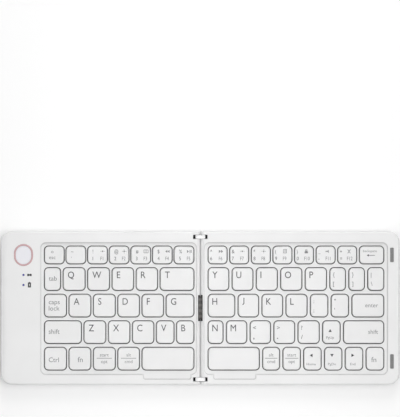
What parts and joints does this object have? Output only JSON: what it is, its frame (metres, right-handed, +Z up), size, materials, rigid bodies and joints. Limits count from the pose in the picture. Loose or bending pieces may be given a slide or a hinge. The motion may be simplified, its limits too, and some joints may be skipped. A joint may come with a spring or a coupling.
{
  "type": "folding keyboard",
  "caption": "Slim keyboard that folds in half on double-pin hinges, with sprung keys in a recessed deck, a connect button, rubber feet and closing bumpers.",
  "frame": {"origin": "on the table under the middle of the keyboard, opened flat", "axes": "+X along the keyboard to the right half's outer end, +Y to the back, where the number row is, +Z up"},
  "size_m": [0.306, 0.118, 0.0113],
  "materials": {
    "case": "satin moulded plastic",
    "case_floor": "satin moulded plastic",
    "deck": "fine matt texture",
    "keycap": "smooth satin with printed legends",
    "link": "smooth",
    "pin": "turned and darkened",
    "foot": "matt",
    "bumper": "matt",
    "grommet": "matt",
    "dome": "translucent silicone",
    "scissor": "smooth",
    "plate": "plain sheet",
    "membrane": "clear printed film",
    "screw": "plated",
    "cable": "flexible printed film",
    "board": "solder mask",
    "battery": "foil pouch",
    "socket": "pressed sheet",
    "button": "smooth satin",
    "ring": "anodised, satin",
    "light": "frosted light guide"
  },
  "bodies": {
    "right_half": {"right_bottom_shell": "case_floor", "right_bezel": "case", "right_key_deck": "deck", "right_base_plate": "plate", "right_membrane": "membrane", "right_domes": "dome", "right_scissors": "scissor", "right_feet": "foot", "closing_bumpers": "bumper", "right_screws": "screw", "right_cable_grommet": "grommet", "right_hinge_pins": "pin"},
    "hinge_links": {"hinge_link_front": "link", "hinge_link_back": "link", "flat_cable": "cable"},
    "left_half": {"left_bottom_shell": "case_floor", "left_bezel": "case", "left_key_deck": "deck", "left_base_plate": "plate", "left_membrane": "membrane", "left_domes": "dome", "left_scissors": "scissor", "left_feet": "foot", "left_screws": "screw", "left_cable_grommet": "grommet", "left_hinge_pins": "pin", "circuit_board": "board", "battery": "battery", "charging_socket": "socket", "button_ring": "ring", "status_lights": "light"},
    "escape_key": {"escape_key": "keycap"},
    "left_number_keys": {"left_number_keys": "keycap"},
    "tab_key": {"tab_key": "keycap"},
    "left_upper_keys": {"left_upper_keys": "keycap"},
    "caps_lock_key": {"caps_lock_key": "keycap"},
    "left_home_keys": {"left_home_keys": "keycap"},
    "left_shift_key": {"left_shift_key": "keycap"},
    "left_lower_keys": {"left_lower_keys": "keycap"},
    "control_key": {"control_key": "keycap"},
    "left_function_key": {"left_function_key": "keycap"},
    "left_start_key": {"left_start_key": "keycap"},
    "left_alt_key": {"left_alt_key": "keycap"},
    "left_space_key": {"left_space_key": "keycap"},
    "right_number_keys": {"right_number_keys": "keycap"},
    "backspace_key": {"backspace_key": "keycap"},
    "right_upper_keys": {"right_upper_keys": "keycap"},
    "right_home_keys": {"right_home_keys": "keycap"},
    "enter_key": {"enter_key": "keycap"},
    "right_lower_keys": {"right_lower_keys": "keycap"},
    "up_key": {"up_key": "keycap"},
    "right_shift_key": {"right_shift_key": "keycap"},
    "right_space_key": {"right_space_key": "keycap"},
    "right_alt_key": {"right_alt_key": "keycap"},
    "right_start_key": {"right_start_key": "keycap"},
    "left_arrow_key": {"left_arrow_key": "keycap"},
    "down_key": {"down_key": "keycap"},
    "right_arrow_key": {"right_arrow_key": "keycap"},
    "right_function_key": {"right_function_key": "keycap"},
    "connect_button": {"connect_button": "button"}
  },
  "joints": [
    {"name": "link_pivot", "type": "hinge", "parent": "right_half", "child": "hinge_links", "pos_m": [0.0037, 0, 0.0075], "axis": [0, 1, 0], "range_deg": [0, 90], "deforming": ["flat_cable"]},
    {"name": "lid_pivot", "type": "hinge", "parent": "hinge_links", "child": "left_half", "pos_m": [-0.0037, 0, 0.0075], "axis": [0, 1, 0], "range_deg": [0, 90], "deforming": ["flat_cable"]},
    {"name": "escape_key_press", "type": "slide", "parent": "left_half", "child": "escape_key", "axis": [0, 0, -1], "range_m": [0, 0.0014], "stiffness_N_per_m": 400, "springref_m": -0.0005, "deforming": ["left_domes", "left_scissors"]},
    {"name": "left_number_keys_press", "type": "slide", "parent": "left_half", "child": "left_number_keys", "axis": [0, 0, -1], "range_m": [0, 0.0014], "stiffness_N_per_m": 2400, "springref_m": -0.0005, "deforming": ["left_domes", "left_scissors"]},
    {"name": "tab_key_press", "type": "slide", "parent": "left_half", "child": "tab_key", "axis": [0, 0, -1], "range_m": [0, 0.0014], "stiffness_N_per_m": 400, "springref_m": -0.0005, "deforming": ["left_domes", "left_scissors"]},
    {"name": "left_upper_keys_press", "type": "slide", "parent": "left_half", "child": "left_upper_keys", "axis": [0, 0, -1], "range_m": [0, 0.0014], "stiffness_N_per_m": 2000, "springref_m": -0.0005, "deforming": ["left_domes", "left_scissors"]},
    {"name": "caps_lock_key_press", "type": "slide", "parent": "left_half", "child": "caps_lock_key", "axis": [0, 0, -1], "range_m": [0, 0.0014], "stiffness_N_per_m": 400, "springref_m": -0.0005, "deforming": ["left_domes", "left_scissors"]},
    {"name": "left_home_keys_press", "type": "slide", "parent": "left_half", "child": "left_home_keys", "axis": [0, 0, -1], "range_m": [0, 0.0014], "stiffness_N_per_m": 2000, "springref_m": -0.0005, "deforming": ["left_domes", "left_scissors"]},
    {"name": "left_shift_key_press", "type": "slide", "parent": "left_half", "child": "left_shift_key", "axis": [0, 0, -1], "range_m": [0, 0.0014], "stiffness_N_per_m": 400, "springref_m": -0.0005, "deforming": ["left_domes", "left_scissors"]},
    {"name": "left_lower_keys_press", "type": "slide", "parent": "left_half", "child": "left_lower_keys", "axis": [0, 0, -1], "range_m": [0, 0.0014], "stiffness_N_per_m": 2000, "springref_m": -0.0005, "deforming": ["left_domes", "left_scissors"]},
    {"name": "control_key_press", "type": "slide", "parent": "left_half", "child": "control_key", "axis": [0, 0, -1], "range_m": [0, 0.0014], "stiffness_N_per_m": 400, "springref_m": -0.0005, "deforming": ["left_domes", "left_scissors"]},
    {"name": "left_function_key_press", "type": "slide", "parent": "left_half", "child": "left_function_key", "axis": [0, 0, -1], "range_m": [0, 0.0014], "stiffness_N_per_m": 400, "springref_m": -0.0005, "deforming": ["left_domes", "left_scissors"]},
    {"name": "left_start_key_press", "type": "slide", "parent": "left_half", "child": "left_start_key", "axis": [0, 0, -1], "range_m": [0, 0.0014], "stiffness_N_per_m": 400, "springref_m": -0.0005, "deforming": ["left_domes", "left_scissors"]},
    {"name": "left_alt_key_press", "type": "slide", "parent": "left_half", "child": "left_alt_key", "axis": [0, 0, -1], "range_m": [0, 0.0014], "stiffness_N_per_m": 400, "springref_m": -0.0005, "deforming": ["left_domes", "left_scissors"]},
    {"name": "left_space_key_press", "type": "slide", "parent": "left_half", "child": "left_space_key", "axis": [0, 0, -1], "range_m": [0, 0.0014], "stiffness_N_per_m": 400, "springref_m": -0.0005, "deforming": ["left_domes", "left_scissors"]},
    {"name": "right_number_keys_press", "type": "slide", "parent": "right_half", "child": "right_number_keys", "axis": [0, 0, -1], "range_m": [0, 0.0014], "stiffness_N_per_m": 2800, "springref_m": -0.0005, "deforming": ["right_domes", "right_scissors"]},
    {"name": "backspace_key_press", "type": "slide", "parent": "right_half", "child": "backspace_key", "axis": [0, 0, -1], "range_m": [0, 0.0014], "stiffness_N_per_m": 400, "springref_m": -0.0005, "deforming": ["right_domes", "right_scissors"]},
    {"name": "right_upper_keys_press", "type": "slide", "parent": "right_half", "child": "right_upper_keys", "axis": [0, 0, -1], "range_m": [0, 0.0014], "stiffness_N_per_m": 3200, "springref_m": -0.0005, "deforming": ["right_domes", "right_scissors"]},
    {"name": "right_home_keys_press", "type": "slide", "parent": "right_half", "child": "right_home_keys", "axis": [0, 0, -1], "range_m": [0, 0.0014], "stiffness_N_per_m": 2400, "springref_m": -0.0005, "deforming": ["right_domes", "right_scissors"]},
    {"name": "enter_key_press", "type": "slide", "parent": "right_half", "child": "enter_key", "axis": [0, 0, -1], "range_m": [0, 0.0014], "stiffness_N_per_m": 400, "springref_m": -0.0005, "deforming": ["right_domes", "right_scissors"]},
    {"name": "right_lower_keys_press", "type": "slide", "parent": "right_half", "child": "right_lower_keys", "axis": [0, 0, -1], "range_m": [0, 0.0014], "stiffness_N_per_m": 2000, "springref_m": -0.0005, "deforming": ["right_domes", "right_scissors"]},
    {"name": "up_key_press", "type": "slide", "parent": "right_half", "child": "up_key", "axis": [0, 0, -1], "range_m": [0, 0.0014], "stiffness_N_per_m": 400, "springref_m": -0.0005, "deforming": ["right_domes", "right_scissors"]},
    {"name": "right_shift_key_press", "type": "slide", "parent": "right_half", "child": "right_shift_key", "axis": [0, 0, -1], "range_m": [0, 0.0014], "stiffness_N_per_m": 400, "springref_m": -0.0005, "deforming": ["right_domes", "right_scissors"]},
    {"name": "right_space_key_press", "type": "slide", "parent": "right_half", "child": "right_space_key", "axis": [0, 0, -1], "range_m": [0, 0.0014], "stiffness_N_per_m": 400, "springref_m": -0.0005, "deforming": ["right_domes", "right_scissors"]},
    {"name": "right_alt_key_press", "type": "slide", "parent": "right_half", "child": "right_alt_key", "axis": [0, 0, -1], "range_m": [0, 0.0014], "stiffness_N_per_m": 400, "springref_m": -0.0005, "deforming": ["right_domes", "right_scissors"]},
    {"name": "right_start_key_press", "type": "slide", "parent": "right_half", "child": "right_start_key", "axis": [0, 0, -1], "range_m": [0, 0.0014], "stiffness_N_per_m": 400, "springref_m": -0.0005, "deforming": ["right_domes", "right_scissors"]},
    {"name": "left_arrow_key_press", "type": "slide", "parent": "right_half", "child": "left_arrow_key", "axis": [0, 0, -1], "range_m": [0, 0.0014], "stiffness_N_per_m": 400, "springref_m": -0.0005, "deforming": ["right_domes", "right_scissors"]},
    {"name": "down_key_press", "type": "slide", "parent": "right_half", "child": "down_key", "axis": [0, 0, -1], "range_m": [0, 0.0014], "stiffness_N_per_m": 400, "springref_m": -0.0005, "deforming": ["right_domes", "right_scissors"]},
    {"name": "right_arrow_key_press", "type": "slide", "parent": "right_half", "child": "right_arrow_key", "axis": [0, 0, -1], "range_m": [0, 0.0014], "stiffness_N_per_m": 400, "springref_m": -0.0005, "deforming": ["right_domes", "right_scissors"]},
    {"name": "right_function_key_press", "type": "slide", "parent": "right_half", "child": "right_function_key", "axis": [0, 0, -1], "range_m": [0, 0.0014], "stiffness_N_per_m": 400, "springref_m": -0.0005, "deforming": ["right_domes", "right_scissors"]},
    {"name": "connect_button_press", "type": "slide", "parent": "left_half", "child": "connect_button", "axis": [0, 0, -1], "range_m": [0, 0.0004], "stiffness_N_per_m": 800, "springref_m": -0.0005}
  ]
}
